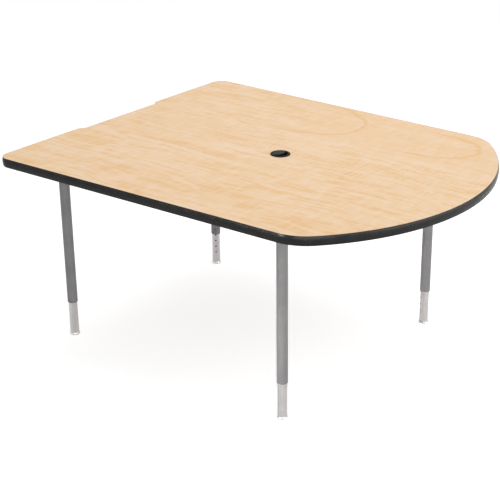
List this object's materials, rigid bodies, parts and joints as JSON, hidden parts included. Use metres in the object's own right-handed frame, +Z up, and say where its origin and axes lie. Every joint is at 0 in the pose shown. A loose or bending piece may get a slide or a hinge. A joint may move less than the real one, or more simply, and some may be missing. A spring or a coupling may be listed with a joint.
{
  "type": "collaboration table",
  "caption": "D-shaped work table with a flat recessed end, a bowed end, a cable grommet and round telescoping legs on levelling glides.",
  "frame": {"origin": "on the floor, under the middle of the top's bounding box", "axes": "+X along the top's length from the flat end to the tip of the bow, +Y across it, +Z up"},
  "size_m": [1.524, 1.217, 0.7276],
  "materials": {
    "particle_board": "raw particle board",
    "maple_laminate": "satin maple-pattern laminate",
    "backer": "matt brown backing sheet",
    "black_band": "black vinyl, fine matt grain",
    "black_plastic": "black moulded plastic",
    "grey_black_plastic": "dark grey moulded plastic",
    "grey_paint": "mid grey powder coat",
    "plated_steel": "bright nickel-chrome plating",
    "zinc_screw": "zinc plated steel",
    "black_screw": "black oxide steel",
    "black_nylon": "black nylon",
    "pale_nylon": "natural nylon"
  },
  "bodies": {
    "table": {"top_core": "particle_board", "top_laminate": "maple_laminate", "backer_sheet": "backer", "edge_band": "black_band", "grommet_liner": "black_plastic", "mount_plate_flat_left": "grey_paint", "sleeve_flat_left": "grey_paint", "plate_screw_flat_left_1": "zinc_screw", "plate_screw_flat_left_2": "zinc_screw", "plate_screw_flat_left_3": "zinc_screw", "plate_screw_flat_left_4": "zinc_screw", "lock_screw_flat_left_1": "black_screw", "lock_screw_flat_left_2": "black_screw", "mount_plate_flat_right": "grey_paint", "sleeve_flat_right": "grey_paint", "plate_screw_flat_right_1": "zinc_screw", "plate_screw_flat_right_2": "zinc_screw", "plate_screw_flat_right_3": "zinc_screw", "plate_screw_flat_right_4": "zinc_screw", "lock_screw_flat_right_1": "black_screw", "lock_screw_flat_right_2": "black_screw", "mount_plate_bow_left": "grey_paint", "sleeve_bow_left": "grey_paint", "plate_screw_bow_left_1": "zinc_screw", "plate_screw_bow_left_2": "zinc_screw", "plate_screw_bow_left_3": "zinc_screw", "plate_screw_bow_left_4": "zinc_screw", "lock_screw_bow_left_1": "black_screw", "lock_screw_bow_left_2": "black_screw", "mount_plate_bow_right": "grey_paint", "sleeve_bow_right": "grey_paint", "plate_screw_bow_right_1": "zinc_screw", "plate_screw_bow_right_2": "zinc_screw", "plate_screw_bow_right_3": "zinc_screw", "plate_screw_bow_right_4": "zinc_screw", "lock_screw_bow_right_1": "black_screw", "lock_screw_bow_right_2": "black_screw"},
    "grommet_cap": {"grommet_cap": "grey_black_plastic"},
    "leg_flat_left": {"insert_flat_left": "plated_steel", "insert_plug_flat_left": "black_nylon"},
    "glide_flat_left": {"glide_stem_flat_left": "zinc_screw", "glide_base_flat_left": "plated_steel", "glide_pad_flat_left": "pale_nylon"},
    "leg_flat_right": {"insert_flat_right": "plated_steel", "insert_plug_flat_right": "black_nylon"},
    "glide_flat_right": {"glide_stem_flat_right": "zinc_screw", "glide_base_flat_right": "plated_steel", "glide_pad_flat_right": "pale_nylon"},
    "leg_bow_left": {"insert_bow_left": "plated_steel", "insert_plug_bow_left": "black_nylon"},
    "glide_bow_left": {"glide_stem_bow_left": "zinc_screw", "glide_base_bow_left": "plated_steel", "glide_pad_bow_left": "pale_nylon"},
    "leg_bow_right": {"insert_bow_right": "plated_steel", "insert_plug_bow_right": "black_nylon"},
    "glide_bow_right": {"glide_stem_bow_right": "zinc_screw", "glide_base_bow_right": "plated_steel", "glide_pad_bow_right": "pale_nylon"}
  },
  "joints": [
    {"name": "grommet_cap_turn", "type": "hinge", "parent": "table", "child": "grommet_cap", "pos_m": [0.0112, 0, 0.7247], "axis": [0, 0, 1], "continuous": true},
    {"name": "insert_slide_flat_left", "type": "slide", "parent": "table", "child": "leg_flat_left", "axis": [0, 0, -1], "range_m": [-0.1016, 0.0762]},
    {"name": "glide_screw_flat_left", "type": "slide", "parent": "leg_flat_left", "child": "glide_flat_left", "axis": [0, 0, -1], "range_m": [0, 0.012]},
    {"name": "insert_slide_flat_right", "type": "slide", "parent": "table", "child": "leg_flat_right", "axis": [0, 0, -1], "range_m": [-0.1016, 0.0762]},
    {"name": "glide_screw_flat_right", "type": "slide", "parent": "leg_flat_right", "child": "glide_flat_right", "axis": [0, 0, -1], "range_m": [0, 0.012]},
    {"name": "insert_slide_bow_left", "type": "slide", "parent": "table", "child": "leg_bow_left", "axis": [0, 0, -1], "range_m": [-0.1016, 0.0762]},
    {"name": "glide_screw_bow_left", "type": "slide", "parent": "leg_bow_left", "child": "glide_bow_left", "axis": [0, 0, -1], "range_m": [0, 0.012]},
    {"name": "insert_slide_bow_right", "type": "slide", "parent": "table", "child": "leg_bow_right", "axis": [0, 0, -1], "range_m": [-0.1016, 0.0762]},
    {"name": "glide_screw_bow_right", "type": "slide", "parent": "leg_bow_right", "child": "glide_bow_right", "axis": [0, 0, -1], "range_m": [0, 0.012]}
  ]
}
